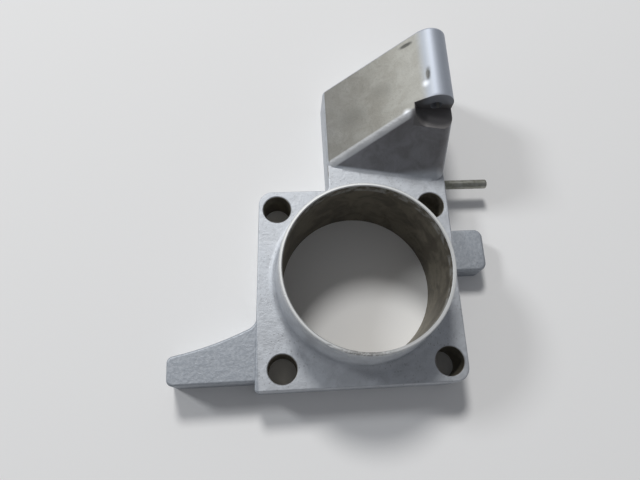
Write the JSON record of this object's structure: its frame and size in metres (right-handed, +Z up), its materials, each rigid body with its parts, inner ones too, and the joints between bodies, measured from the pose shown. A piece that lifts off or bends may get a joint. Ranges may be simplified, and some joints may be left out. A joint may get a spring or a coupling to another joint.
{
  "type": "die cast housing",
  "caption": "Die cast aluminium housing: square flange with a thin bore collar, a side arm, a tab, a steel dowel pin and a sloping hood with a round nose.",
  "frame": {"origin": "on the bore's axis, in the plane of the mounting face", "axes": "+Z up the bore, away from the mounting face; +X to the pin and the tab; +Y to the hood"},
  "size_m": [0.1027, 0.1044, 0.0349],
  "materials": {
    "casting": "raw die cast skin, satin, slightly rough and stained, rim and bores machined",
    "pin": "dull oiled steel"
  },
  "bodies": {
    "root": {"housing": "casting", "locating_pin": "pin"}
  },
  "joints": []
}
